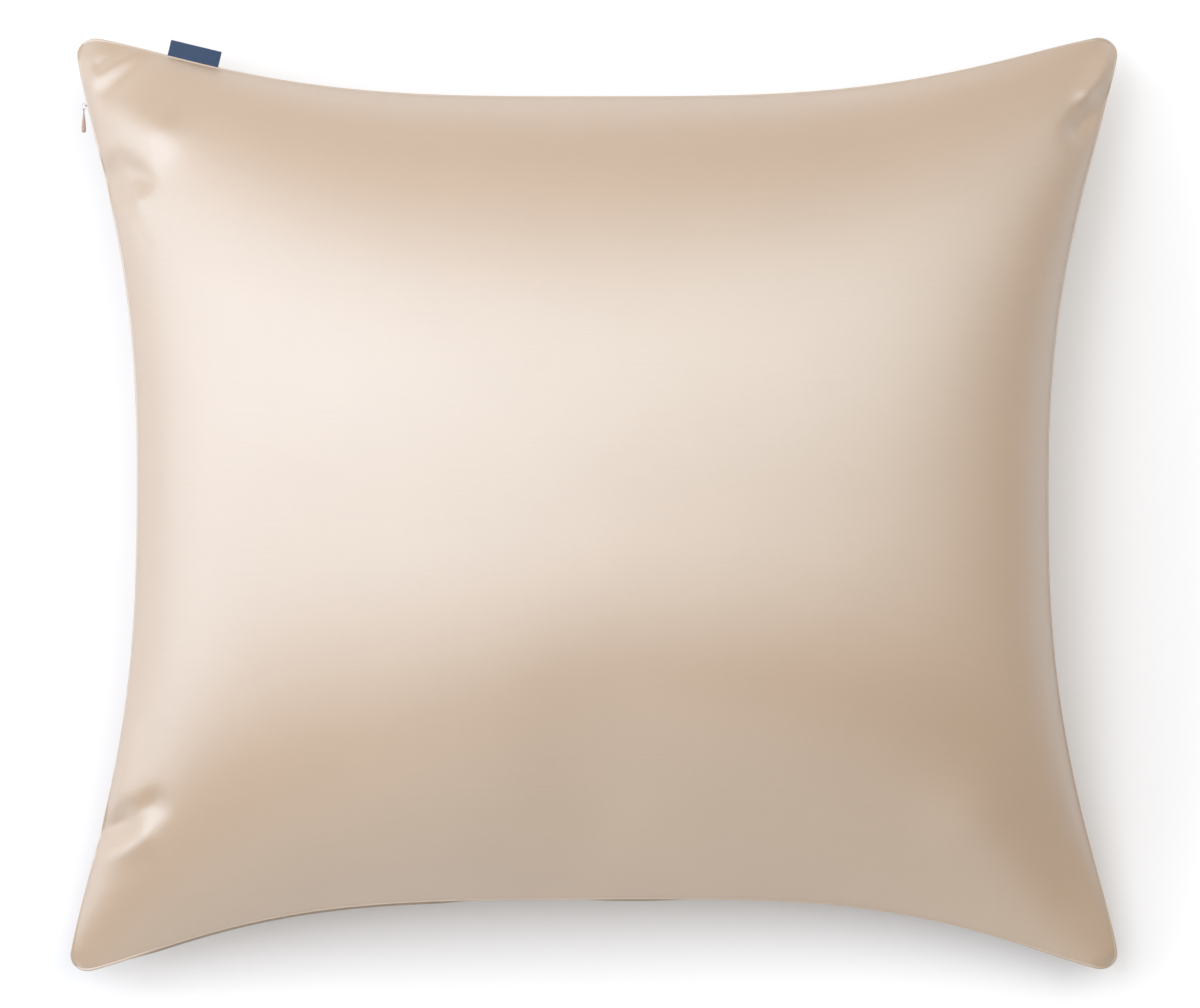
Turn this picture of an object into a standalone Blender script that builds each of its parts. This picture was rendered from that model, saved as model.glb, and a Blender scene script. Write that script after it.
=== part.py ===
"""A filled satin pillowcase, lying on its back.

Two panels are sewn together on all four sides and filled. The filling draws each
side in between its corners, lifts the seam off the floor along the sides and leaves
the corners thin. A folded label is caught in the far seam, and the pull of a
concealed zip hangs at the left seam.

Metres, +Z up. X runs along the long sides and Y along the short ones. The origin is on
the floor, under the middle of the case's span. "Far" is +Y and "near" is -Y.
"""
import math
from collections import namedtuple

import bmesh
import bpy
from mathutils import Matrix, Vector

MM = 0.001
GAP = 0.3 * MM                      # between pieces that touch

# ---------------------------------------------------------------- the filled case
# A case cut 800 x 700 mm spans less once it is filled.
SPAN_X = 0.770
SPAN_Y = 0.686

# Where the two sides of each corner would meet, before its tip is rounded.
CORNER_FAR_LEFT = Vector((-0.382, 0.3455))
CORNER_FAR_RIGHT = Vector((0.386, 0.346))
CORNER_NEAR_LEFT = Vector((-0.387, -0.345))
CORNER_NEAR_RIGHT = Vector((0.387, -0.344))
TIP_ROUNDING = 0.050                # share of a half side that the rounded tip takes

# How far each side is drawn in at its middle and how late it turns towards its ends, then
# how flat the crown stays towards the middle and how round it turns over at the seam: an
# edge of 0.5 is an ellipse's, and 1 a straight slope's.
Side = namedtuple("Side", "draw turn dome edge")
FAR_SIDE = Side(draw=0.0485, turn=3.2, dome=2.5, edge=0.70)
NEAR_SIDE = Side(draw=0.058, turn=3.5, dome=3.1, edge=1.05)
LEFT_SIDE = Side(draw=0.052, turn=2.6, dome=2.05, edge=0.47)
RIGHT_SIDE = Side(draw=0.0565, turn=2.5, dome=1.7, edge=0.47)
RUN_OUT = 1.5                       # how softly a side straightens into its corners
EDGE_SLACK = 0.015                  # over 0, the crown leaves the seam at a slope

# The seam's height over the floor: high along the sides, low at the corners.
SEAM_MIDDLE_Z = 0.100
SEAM_CORNER_Z = 0.040
SEAM_POWER = 2.2
RIM_THICKNESS = 3.0 * MM            # the two panels and their turned-in edges
RIM_BULGE = 1.0 * MM                # how far the rim's middle stands out

# The front panel's crown over the seam.
CROWN = 0.110

# The back panel sinks from the seam to the floor, and lies flat inside that.
BACK_DOME = 2.8
FLOOR_FROM = 0.65                   # share of its fullness at which it reaches the floor
FLOOR_POWER = 1.6

# The height of a sag is in metres, and the seam goes up or down with it. The height of a
# fold is a share of the crown's rise where it lies: over 0 for a ridge, under 0 for a
# trough. So the front panel's folds die out at the seam.
Fold = namedtuple("Fold", "name start end half_width height")
SAGS = (
    Fold("near right sag", (0.020, -0.212), (0.340, -0.267), 0.090, -0.018),
    Fold("left lower pocket", (-0.360, -0.241), (-0.346, -0.234), 0.0110, -0.011),
    Fold("left upper pocket", (-0.353, 0.239), (-0.345, 0.235), 0.0130, -0.012),
    Fold("far right ridge", (0.378, 0.325), (0.364, 0.301), 0.0090, 0.004),
    Fold("far right pocket", (0.374, 0.298), (0.354, 0.276), 0.0090, -0.007),
)
FOLDS = (
    Fold("far left ear ridge", (-0.366, 0.314), (-0.337, 0.337), 0.0080, 0.30),
    Fold("far left ear trough", (-0.357, 0.303), (-0.326, 0.330), 0.0090, -0.30),
    Fold("far left shoulder", (-0.362, 0.292), (-0.322, 0.274), 0.0200, 0.28),
    Fold("left upper trough", (-0.348, 0.253), (-0.327, 0.237), 0.0070, -0.16),
    Fold("left upper bulge", (-0.341, 0.236), (-0.334, 0.222), 0.0080, 0.14),
    Fold("left lower bulge", (-0.343, -0.166), (-0.351, -0.206), 0.0110, 0.24),
    Fold("left lower trough", (-0.350, -0.233), (-0.320, -0.217), 0.0090, -0.16),
    Fold("left corner ridge", (-0.362, -0.258), (-0.328, -0.243), 0.0100, 0.14),
    Fold("near right crest", (0.285, -0.232), (0.352, -0.312), 0.0380, 0.09),
)

# The mesh: cells along each side, and how much closer they lie near the seam.
CELLS = 52
CELL_GRADING = 0.70

# ---------------------------------------------------------------- the label
LABEL_AT = -0.77                    # along the far side, as a half side's share
LABEL_WIDTH = 39.5 * MM
LABEL_REACH = 11.3 * MM
LABEL_TAPE = 0.5 * MM
LABEL_BEND_RADIUS = 0.45 * MM       # of the tape's middle, where it is folded in two
LABEL_BEND_STEPS = 6

# ---------------------------------------------------------------- the zip's end
ZIP_AT = 0.852                      # along the left side, as a half side's share
SLIDER_SIZE = (8.0 * MM, 3.8 * MM, 2.4 * MM)
SLIDER_EDGE = 0.6 * MM
SLIDER_BELOW_RIM = 0.6 * MM
SLIDER_INSIDE_RIM = 0.2 * MM
STAPLE_WIRE = 0.4 * MM              # radius
STAPLE_HEIGHT = 2.0 * MM
STAPLE_REACH = 1.9 * MM
STAPLE_ROOT = 1.0 * MM
RING_WIRE = 0.3 * MM                # radius
RING_WIDTH = 4.2 * MM
RING_LENGTH = 5.8 * MM
RING_CORNER = 1.2 * MM
RING_CORNER_STEPS = 4
PULL_LENGTH = 17.9 * MM
PULL_RADIUS = 1.65 * MM
PULL_NECK_RADIUS = 0.55 * MM
PULL_EYE_RADIUS = 1.2 * MM
PULL_EYE_WIRE = 0.36 * MM
PULL_SIDES = 16

# ---------------------------------------------------------------- materials
Finish = namedtuple("Finish", "colour roughness metallic")
FINISHES = {
    "satin": Finish(colour=(0.68, 0.53, 0.42), roughness=0.38, metallic=0.0),
    "label_tape": Finish(colour=(0.04, 0.10, 0.24), roughness=0.8, metallic=0.0),
    "zip_metal": Finish(colour=(0.62, 0.60, 0.58), roughness=0.3, metallic=1.0),
    "zip_paint": Finish(colour=(0.45, 0.29, 0.22), roughness=0.4, metallic=0.0),
}


def clear_scene():
    """Remove the objects that a new file opens with."""
    for obj in list(bpy.data.objects):
        bpy.data.objects.remove(obj, do_unlink=True)


def new_collection(name):
    """Add a collection to the scene."""
    collection = bpy.data.collections.new(name)
    bpy.context.scene.collection.children.link(collection)
    return collection


def new_material(name):
    """Make a Principled material from its row of the finishes."""
    finish = FINISHES[name]
    material = bpy.data.materials.new(name)
    material.use_nodes = True
    shader = material.node_tree.nodes["Principled BSDF"]
    shader.inputs["Base Color"].default_value = (*finish.colour, 1.0)
    shader.inputs["Roughness"].default_value = finish.roughness
    shader.inputs["Metallic"].default_value = finish.metallic
    return material


def new_object(name, mesh, material, collection, smooth=True):
    """Put a mesh in the scene as a named, finished object."""
    obj = bpy.data.objects.new(name, mesh)
    collection.objects.link(obj)
    mesh.materials.clear()
    mesh.materials.append(material)
    if smooth:
        mesh.shade_smooth()
        mesh.set_sharp_from_angle(angle=math.radians(40))
    return obj


def mesh_from(bm, name):
    """Turn a bmesh into a mesh, with its faces pointing out."""
    bmesh.ops.recalc_face_normals(bm, faces=bm.faces)
    mesh = bpy.data.meshes.new(name)
    bm.to_mesh(mesh)
    bm.free()
    return mesh


def curve_to_mesh(curve, name):
    """Turn a bevelled curve into a closed mesh, with its end caps welded on."""
    source = bpy.data.objects.new(name + "_curve", curve)
    bpy.context.scene.collection.objects.link(source)
    depsgraph = bpy.context.evaluated_depsgraph_get()
    mesh = bpy.data.meshes.new_from_object(source.evaluated_get(depsgraph))
    bpy.data.objects.remove(source, do_unlink=True)
    bm = bmesh.new()
    bm.from_mesh(mesh)
    bmesh.ops.remove_doubles(bm, verts=bm.verts, dist=0.0001 * MM)
    bm.to_mesh(mesh)
    bm.free()
    return mesh


def wire(points, radius, closed, name):
    """A round wire along a list of points."""
    curve = bpy.data.curves.new(name, "CURVE")
    curve.dimensions = "3D"
    curve.bevel_depth = radius
    curve.bevel_resolution = 2
    curve.use_fill_caps = not closed
    spline = curve.splines.new("POLY")
    spline.points.add(len(points) - 1)
    for point, place in zip(spline.points, points):
        point.co = (*place, 1.0)
    spline.use_cyclic_u = closed
    return curve_to_mesh(curve, name)


def union(obj, tool_mesh):
    """Join a second closed mesh to an object and keep the result as its mesh."""
    tool = bpy.data.objects.new(obj.name + "_tool", tool_mesh)
    tool.matrix_world = obj.matrix_world
    bpy.context.scene.collection.objects.link(tool)
    joint = obj.modifiers.new("join", "BOOLEAN")
    joint.operation = "UNION"
    joint.object = tool
    depsgraph = bpy.context.evaluated_depsgraph_get()
    joined = bpy.data.meshes.new_from_object(obj.evaluated_get(depsgraph))
    obj.modifiers.remove(joint)
    obj.data = joined
    bpy.data.objects.remove(tool, do_unlink=True)


# ---------------------------------------------------------------- the case's shape
def graded(a):
    """Move a grid line from even spacing towards the seams."""
    return (1 - CELL_GRADING) * a + CELL_GRADING * math.sin(a * math.pi / 2)


def round_tip(s, t):
    """Bend the square's corner cell into a quarter disc, which rounds the tip."""
    start = 1 - TIP_ROUNDING
    u = (abs(s) - start) / TIP_ROUNDING
    v = (abs(t) - start) / TIP_ROUNDING
    if u <= 0 or v <= 0:
        return s, t
    rounded_u = u * math.sqrt(1 - v * v / 2)
    rounded_v = v * math.sqrt(1 - u * u / 2)
    return (math.copysign(start + TIP_ROUNDING * rounded_u, s),
            math.copysign(start + TIP_ROUNDING * rounded_v, t))


def drawn_in(side, along):
    """How far a side is drawn in, at a place along it from -1 to 1."""
    return side.draw * max(0.0, 1 - abs(along) ** side.turn) ** RUN_OUT


def sharp_plan(s, t):
    """The plan position of a place on the square, before it is fitted to the span."""
    s, t = round_tip(s, t)
    right = (s + 1) / 2
    far = (t + 1) / 2
    left_x = CORNER_NEAR_LEFT.x * (1 - far) + CORNER_FAR_LEFT.x * far
    right_x = CORNER_NEAR_RIGHT.x * (1 - far) + CORNER_FAR_RIGHT.x * far
    near_y = CORNER_NEAR_LEFT.y * (1 - right) + CORNER_NEAR_RIGHT.y * right
    far_y = CORNER_FAR_LEFT.y * (1 - right) + CORNER_FAR_RIGHT.y * right
    left_x += drawn_in(LEFT_SIDE, t)
    right_x -= drawn_in(RIGHT_SIDE, t)
    near_y += drawn_in(NEAR_SIDE, s)
    far_y -= drawn_in(FAR_SIDE, s)
    return Vector((left_x * (1 - right) + right_x * right, near_y * (1 - far) + far_y * far))


def rim_places():
    """The places of the grid that lie on the seam."""
    lines = [graded(2 * i / CELLS - 1) for i in range(CELLS + 1)]
    for a in lines:
        for side in (-1.0, 1.0):
            yield a, side
            yield side, a


def plan_fit():
    """The middle and the scale that bring the outline to the case's span."""
    outline = [sharp_plan(s, t) for s, t in rim_places()]
    low = Vector((min(p.x for p in outline), min(p.y for p in outline)))
    high = Vector((max(p.x for p in outline), max(p.y for p in outline)))
    span = Vector((SPAN_X, SPAN_Y)) - Vector((2 * RIM_BULGE, 2 * RIM_BULGE))
    return (low + high) / 2, Vector((span.x / (high.x - low.x), span.y / (high.y - low.y)))


PLAN_MIDDLE, PLAN_SCALE = plan_fit()


def plan(s, t):
    """The plan position of a place on the square, from -1 to 1 both ways."""
    place = sharp_plan(s, t) - PLAN_MIDDLE
    return Vector((place.x * PLAN_SCALE.x, place.y * PLAN_SCALE.y))


def fold_offset(fold, place):
    """How far a fold lifts or sinks the cloth at a place in plan."""
    start = Vector(fold.start)
    run = Vector(fold.end) - start
    share = max(0.0, min(1.0, (place - start).dot(run) / run.length_squared))
    away = (place - start - run * share).length / fold.half_width
    return fold.height * math.exp(-away * away)


def seam_height(s, t):
    """The height of the seam's surface over the floor."""
    lift = 1 - (abs(s) * abs(t)) ** SEAM_POWER
    level = SEAM_CORNER_Z + (SEAM_MIDDLE_Z - SEAM_CORNER_Z) * lift
    place = plan(s, t)
    return level + sum(fold_offset(sag, place) for sag in SAGS)


def rise(side, along):
    """The crown's share from a seam, where it is 0, to the middle, where it is 1."""
    inner = max(0.0, 1 - abs(along) ** side.dome) + EDGE_SLACK
    start = EDGE_SLACK ** side.edge
    return (inner ** side.edge - start) / ((1 + EDGE_SLACK) ** side.edge - start)


def fullness(s, t):
    """How full the front is at a place: 0 at the seam and 1 in the middle."""
    across = rise(LEFT_SIDE if s < 0 else RIGHT_SIDE, s)
    return across * rise(NEAR_SIDE if t < 0 else FAR_SIDE, t)


def back_fullness(s, t):
    """How full the back is at a place: 0 at the seam and 1 in the middle."""
    return (1 - abs(s) ** BACK_DOME) * (1 - abs(t) ** BACK_DOME)


def front_point(s, t):
    """A point of the front panel."""
    place = plan(s, t)
    folded = 1 + sum(fold_offset(fold, place) for fold in FOLDS)
    height = seam_height(s, t) + RIM_THICKNESS / 2 + CROWN * fullness(s, t) * folded
    return Vector((place.x, place.y, height))


def back_point(s, t):
    """A point of the back panel, which ends flat on the floor."""
    place = plan(s, t)
    sunk = min(1.0, back_fullness(s, t) / FLOOR_FROM)
    height = (seam_height(s, t) - RIM_THICKNESS / 2) * (1 - sunk) ** FLOOR_POWER
    return Vector((place.x, place.y, height))


def add_panel(bm, surface):
    """Add a grid and lay it on a surface. Its rim edges are returned."""
    grid = bmesh.ops.create_grid(bm, x_segments=CELLS, y_segments=CELLS, size=1.0)
    for vert in grid["verts"]:
        vert.co = surface(graded(vert.co.x), graded(vert.co.y))
    edges = {edge for vert in grid["verts"] for edge in vert.link_edges}
    return [edge for edge in edges if edge.is_boundary]


def merge_floor(bm):
    """Merge the back panel's flat cells, which all lie on the floor, into one face."""
    flat = [face for face in bm.faces if all(vert.co.z == 0.0 for vert in face.verts)]
    bmesh.ops.dissolve_faces(bm, faces=flat)


def build_case(collection):
    """The two panels, joined by a thin rounded rim, as one filled solid."""
    bm = bmesh.new()
    rims = add_panel(bm, front_point) + add_panel(bm, back_point)
    band = bmesh.ops.bridge_loops(bm, edges=rims)
    across = {edge for face in band["faces"] for edge in face.edges} - set(rims)
    bmesh.ops.recalc_face_normals(bm, faces=bm.faces)
    middle = bmesh.ops.subdivide_edges(bm, edges=list(across), cuts=1)
    bm.normal_update()
    for vert in middle["geom_inner"]:
        if isinstance(vert, bmesh.types.BMVert):
            outward = Vector((vert.normal.x, vert.normal.y, 0.0)).normalized()
            vert.co += outward * RIM_BULGE
    merge_floor(bm)
    mesh = mesh_from(bm, "case")
    return new_object("case", mesh, new_material("satin"), collection)


# ---------------------------------------------------------------- places on the seam
def seam_point(s, t):
    """A point on the middle of the rim."""
    place = plan(s, t)
    return Vector((place.x, place.y, seam_height(s, t)))


def seam_frame(s, t):
    """Axes at a place on the seam: X along it, Y straight out and Z up."""
    step = 0.01
    if abs(t) == 1.0:
        along = seam_point(s + step, t) - seam_point(s - step, t)
        out = Vector((0.0, t, 0.0))
    else:
        along = seam_point(s, t + step) - seam_point(s, t - step)
        out = Vector((s, 0.0, 0.0))
    along.normalize()
    out = (out - along * out.dot(along)).normalized()
    up = along.cross(out)
    if up.z < 0:
        along = -along
        up = -up
    frame = Matrix((along, out, up)).transposed().to_4x4()
    frame.translation = seam_point(s, t)
    return frame


# ---------------------------------------------------------------- the label
def build_label(collection):
    """A tape folded in two, its ends at the seam and its bend outside."""
    root = RIM_BULGE + GAP + LABEL_TAPE / 2
    bend_centre = RIM_BULGE + GAP + LABEL_REACH - LABEL_TAPE / 2 - LABEL_BEND_RADIUS
    section = [(root, -LABEL_BEND_RADIUS)]
    for i in range(LABEL_BEND_STEPS + 1):
        turn = math.pi * (i / LABEL_BEND_STEPS - 0.5)
        section.append((bend_centre + LABEL_BEND_RADIUS * math.cos(turn),
                        LABEL_BEND_RADIUS * math.sin(turn)))
    section.append((root, LABEL_BEND_RADIUS))

    bm = bmesh.new()
    verts = [bm.verts.new((-LABEL_WIDTH / 2, out, up)) for out, up in section]
    edges = [bm.edges.new(pair) for pair in zip(verts, verts[1:])]
    swept = bmesh.ops.extrude_edge_only(bm, edges=edges)
    new_verts = [item for item in swept["geom"] if isinstance(item, bmesh.types.BMVert)]
    bmesh.ops.translate(bm, verts=new_verts, vec=(LABEL_WIDTH, 0.0, 0.0))
    mesh = mesh_from(bm, "label")
    label = new_object("label", mesh, new_material("label_tape"), collection)
    label.matrix_world = seam_frame(LABEL_AT, 1.0)
    tape = label.modifiers.new("tape", "SOLIDIFY")
    tape.thickness = LABEL_TAPE
    tape.offset = 0.0
    return label


# ---------------------------------------------------------------- the zip's end
def zip_frame():
    """Axes where the slider sits, under the rim."""
    return seam_frame(-1.0, ZIP_AT)


def build_slider(collection):
    """The slider's body under the rim, with the staple that holds the ring."""
    length, depth, height = SLIDER_SIZE
    middle_out = RIM_BULGE - SLIDER_INSIDE_RIM - depth / 2
    middle_up = -RIM_THICKNESS / 2 - SLIDER_BELOW_RIM - height / 2
    bm = bmesh.new()
    size = Matrix.Diagonal((length, depth, height, 1.0))
    place = Matrix.Translation((0.0, middle_out, middle_up))
    bmesh.ops.create_cube(bm, size=1.0, matrix=place @ size)
    bmesh.ops.bevel(bm, geom=bm.edges[:], offset=SLIDER_EDGE, segments=2, affect="EDGES",
                    profile=0.5, clamp_overlap=True)
    slider = new_object("zip_slider", mesh_from(bm, "zip_slider"),
                        new_material("zip_metal"), collection)
    slider.matrix_world = zip_frame()

    root = middle_out + depth / 2 - STAPLE_ROOT
    tip = middle_out + depth / 2 + STAPLE_REACH - STAPLE_WIRE
    half = STAPLE_HEIGHT / 2
    staple = [(0.0, root, middle_up - half), (0.0, tip, middle_up - half),
              (0.0, tip, middle_up + half), (0.0, root, middle_up + half)]
    union(slider, wire(staple, STAPLE_WIRE, False, "staple"))
    slider.data.name = "zip_slider"
    return slider


def ring_place():
    """The middle of the ring: level, with its right corner in the slider's staple."""
    length, depth, height = SLIDER_SIZE
    frame = zip_frame()
    out = RIM_BULGE - SLIDER_INSIDE_RIM + STAPLE_REACH / 2 - STAPLE_WIRE
    up = -RIM_THICKNESS / 2 - SLIDER_BELOW_RIM - height / 2
    in_staple = frame @ Vector((0.0, out, up))
    return in_staple + Vector((-(RING_WIDTH / 2 - RING_WIRE), 0.0, 0.0))


def ring_path():
    """The middle of the ring's wire: a diamond with rounded corners, its long axis on Y."""
    half = Vector((RING_WIDTH / 2 - RING_WIRE, RING_LENGTH / 2 - RING_WIRE, 0.0))
    tips = [Vector((half.x, 0.0, 0.0)), Vector((0.0, half.y, 0.0)),
            Vector((-half.x, 0.0, 0.0)), Vector((0.0, -half.y, 0.0))]
    points = []
    for i, tip in enumerate(tips):
        before = tip + (tips[i - 1] - tip).normalized() * RING_CORNER
        after = tip + (tips[(i + 1) % 4] - tip).normalized() * RING_CORNER
        for k in range(RING_CORNER_STEPS + 1):
            share = k / RING_CORNER_STEPS
            points.append(before * (1 - share) ** 2 + tip * 2 * share * (1 - share)
                          + after * share ** 2)
    reach = Vector((max(point.x for point in points), max(point.y for point in points)))
    return [Vector((p.x * half.x / reach.x, p.y * half.y / reach.y, 0.0)) for p in points]


def build_ring(collection):
    """The wire link between the slider and the pull."""
    ring = new_object("zip_ring", wire(ring_path(), RING_WIRE, True, "zip_ring"),
                      new_material("zip_metal"), collection)
    ring.location = ring_place()
    return ring


def build_pull(collection):
    """A turned drop that lies along -Y, with an eye around the ring's lower corner."""
    eye_top = PULL_EYE_RADIUS + PULL_EYE_WIRE
    neck = -PULL_EYE_RADIUS
    tip = eye_top - PULL_LENGTH
    profile = [(0.0, tip), (PULL_RADIUS * 0.55, tip + PULL_RADIUS * 0.18),
               (PULL_RADIUS * 0.9, tip + PULL_RADIUS * 0.65),
               (PULL_RADIUS, tip + PULL_RADIUS * 1.5),
               (PULL_RADIUS * 0.88, tip + PULL_LENGTH * 0.36),
               (PULL_RADIUS * 0.55, tip + PULL_LENGTH * 0.62),
               (PULL_NECK_RADIUS, neck), (0.0, neck)]
    bm = bmesh.new()
    verts = [bm.verts.new((radius, along, 0.0)) for radius, along in profile]
    for pair in zip(verts, verts[1:]):
        bm.edges.new(pair)
    bmesh.ops.spin(bm, geom=bm.verts[:] + bm.edges[:], cent=(0.0, 0.0, 0.0),
                   axis=(0.0, 1.0, 0.0), angle=2 * math.pi, steps=PULL_SIDES,
                   use_merge=True)
    bmesh.ops.remove_doubles(bm, verts=bm.verts, dist=0.0001 * MM)
    pull = new_object("zip_pull", mesh_from(bm, "zip_pull"),
                      new_material("zip_paint"), collection)
    lower_corner = Vector((0.0, -(RING_LENGTH / 2 - RING_WIRE), 0.0))
    hang = Vector((0.0, -GAP / 3, 0.0))
    pull.location = ring_place() + lower_corner + hang
    bpy.context.view_layer.update()

    eye = [(0.0, PULL_EYE_RADIUS * math.cos(turn), PULL_EYE_RADIUS * math.sin(turn))
           for turn in (2 * math.pi * i / PULL_SIDES for i in range(PULL_SIDES))]
    union(pull, wire(eye, PULL_EYE_WIRE, True, "eye"))
    pull.data.name = "zip_pull"
    return pull


def main():
    clear_scene()
    collection = new_collection("pillowcase")
    build_case(collection)
    build_label(collection)
    build_slider(collection)
    build_ring(collection)
    build_pull(collection)


main()
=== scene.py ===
"""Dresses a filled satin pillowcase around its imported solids.

The case is one padded piece: two panels of satin, laid over the filling on a fine grid
and joined by a turned seam. A woven label is folded into the far seam, and the slider,
ring and pull of the concealed zip sit at the left seam. The stage is a pale floor under
soft light, seen from straight above.

Metres, +Z up. X runs along the long sides and Y along the short ones. "Far" is +Y and
"near" is -Y. On the panels, s runs from -1 at the left seam to 1 at the right one, and t
from -1 at the near seam to 1 at the far one.
"""
import math
from collections import namedtuple

import bpy
import numpy as np
from bpy.props import FloatProperty, FloatVectorProperty, IntProperty, PointerProperty
from mathutils import Matrix, Vector


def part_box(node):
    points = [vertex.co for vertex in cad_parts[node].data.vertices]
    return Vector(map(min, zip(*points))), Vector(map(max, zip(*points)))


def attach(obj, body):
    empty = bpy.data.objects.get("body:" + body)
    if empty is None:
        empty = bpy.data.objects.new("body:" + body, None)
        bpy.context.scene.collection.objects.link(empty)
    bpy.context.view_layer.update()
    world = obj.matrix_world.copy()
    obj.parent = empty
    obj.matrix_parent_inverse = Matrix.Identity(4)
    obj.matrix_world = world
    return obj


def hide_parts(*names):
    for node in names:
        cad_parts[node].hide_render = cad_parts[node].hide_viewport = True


bl_info = {
    "name": "Satin Pillowcase",
    "version": (1, 0, 0),
    "blender": (4, 5, 0),
    "location": "View3D > Sidebar > Pillowcase",
    "description": "A filled satin pillowcase with its label, zip pull and stage",
    "category": "Add Mesh",
}

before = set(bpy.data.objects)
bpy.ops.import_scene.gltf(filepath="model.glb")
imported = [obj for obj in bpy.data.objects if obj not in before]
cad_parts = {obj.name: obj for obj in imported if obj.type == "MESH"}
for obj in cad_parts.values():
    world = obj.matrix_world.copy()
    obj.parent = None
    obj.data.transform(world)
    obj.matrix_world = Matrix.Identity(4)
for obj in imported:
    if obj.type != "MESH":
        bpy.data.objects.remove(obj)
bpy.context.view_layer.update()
CASE_LOW, CASE_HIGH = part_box("case")
MM = 0.001

# ---------------------------------------------------------------- the case's shape
# Where the two sides of each corner would meet, before its tip is rounded.
CORNER_FAR_LEFT = (-0.382, 0.3455)
CORNER_FAR_RIGHT = (0.386, 0.346)
CORNER_NEAR_LEFT = (-0.387, -0.345)
CORNER_NEAR_RIGHT = (0.387, -0.344)
TIP_ROUNDING = 0.050

# How far each side is drawn in, how late it turns towards its ends, how flat the crown
# stays towards the middle, and how round it turns over at the seam: 0.5 is an ellipse.
Side = namedtuple("Side", "draw turn dome edge")
FAR_SIDE = Side(draw=0.0485, turn=3.2, dome=2.5, edge=0.70)
NEAR_SIDE = Side(draw=0.058, turn=3.5, dome=3.1, edge=1.05)
LEFT_SIDE = Side(draw=0.052, turn=2.6, dome=2.05, edge=0.47)
RIGHT_SIDE = Side(draw=0.0565, turn=2.5, dome=1.7, edge=0.47)
RUN_OUT = 1.5                       # how softly a side straightens into its corners
EDGE_SLACK = 0.015                  # over 0, the crown leaves the seam at a slope

SEAM_POWER = 2.2                    # how late the seam drops towards a corner
BACK_DOME = 2.8                     # how flat the back stays towards the middle
FLOOR_FROM = 0.65                   # the back's fullness from which it lies on the floor
FLOOR_POWER = 1.6                   # how softly the back meets the floor

# The height of a sag is in metres, and the seam goes up or down with it. The height of a
# fold is a share of the crown's rise where it lies: over 0 for a ridge, under 0 for a
# trough.
Fold = namedtuple("Fold", "name start end half_width height")
SAGS = (
    Fold("near right sag", (0.020, -0.212), (0.340, -0.267), 0.090, -0.018),
    Fold("left lower pocket", (-0.360, -0.241), (-0.346, -0.234), 0.0110, -0.011),
    Fold("left upper pocket", (-0.353, 0.239), (-0.345, 0.235), 0.0130, -0.012),
    Fold("far right ridge", (0.378, 0.325), (0.364, 0.301), 0.0090, 0.004),
    Fold("far right pocket", (0.374, 0.298), (0.354, 0.276), 0.0090, -0.007),
)
FOLDS = (
    Fold("far left tip crease", (-0.362, 0.322), (-0.346, 0.333), 0.0055, -0.40),
    Fold("far left ear ridge", (-0.366, 0.314), (-0.337, 0.337), 0.0080, 0.30),
    Fold("far left ear trough", (-0.357, 0.303), (-0.326, 0.330), 0.0090, -0.30),
    Fold("far left shoulder", (-0.362, 0.292), (-0.322, 0.274), 0.0200, 0.28),
    Fold("left upper trough", (-0.348, 0.253), (-0.327, 0.237), 0.0070, -0.16),
    Fold("left upper bulge", (-0.341, 0.236), (-0.334, 0.222), 0.0080, 0.14),
    Fold("left upper crease", (-0.343, 0.221), (-0.324, 0.188), 0.0045, -0.03),
    Fold("left lower bulge", (-0.343, -0.166), (-0.351, -0.206), 0.0110, 0.24),
    Fold("left lower trough", (-0.350, -0.233), (-0.320, -0.217), 0.0090, -0.16),
    Fold("left corner ridge", (-0.362, -0.258), (-0.328, -0.243), 0.0100, 0.14),
    Fold("near right crest", (0.285, -0.232), (0.352, -0.312), 0.0380, 0.09),
)

# Ripples and puckers grow from the seam to their full height over this share of a half
# side.
DETAIL_FADE = 0.02

# Low ripples all over the front panel. "across" and "along" are radians for each unit of
# s and of t.
Ripple = namedtuple("Ripple", "across along phase height")
RIPPLES = (
    Ripple(across=5.1, along=1.3, phase=0.4, height=0.00020),
    Ripple(across=-2.3, along=4.7, phase=1.9, height=0.00025),
    Ripple(across=7.9, along=-3.1, phase=2.7, height=0.00010),
)

# Puckers where the seam thread draws the cloth: radians for each half side, and phases.
PUCKER_WAVES = ((29.0, 0.3), (43.0, 1.7), (61.0, 4.1))
PUCKER_HEIGHT = 0.25 * MM
PUCKER_REACH = 9.0 * MM

# The turned seam: how far out and up each ring of points lies from the seam line, from
# the front panel's edge over the groove between the panels to the back panel's edge.
RIM_RINGS = (
    (-1.40 * MM, 1.10 * MM), (-0.95 * MM, 1.10 * MM), (-0.45 * MM, 0.92 * MM),
    (-0.12 * MM, 0.60 * MM), (-0.08 * MM, 0.28 * MM), (-0.50 * MM, 0.0),
    (-0.08 * MM, -0.28 * MM), (-0.12 * MM, -0.60 * MM), (-0.45 * MM, -0.92 * MM),
    (-0.95 * MM, -1.10 * MM), (-1.40 * MM, -1.10 * MM),
)
RIM_CUTS = len(RIM_RINGS) - 2
RIM_TOLERANCE = 1e-6                # how near to 1 a unit place counts as on the rim

# Where the back panel shows beyond the near seam, and how far.
Peek = namedtuple("Peek", "start end reach")
PEEKS = (
    Peek(start=-0.345, end=-0.085, reach=1.5 * MM),
    Peek(start=-0.012, end=0.070, reach=1.2 * MM),
)
PEEK_EASE = 0.030


# ---------------------------------------------------------------- small helpers
def case_sizes():
    return bpy.context.scene.pillowcase_case


def deselect_all():
    bpy.ops.object.select_all(action="DESELECT")


def activate(*objects):
    """Select these objects alone, the first of them active."""
    deselect_all()
    for obj in objects:
        obj.select_set(True)
    bpy.context.view_layer.objects.active = objects[0]


def name_piece(piece, name):
    piece.name = name
    piece.data.name = name


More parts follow.
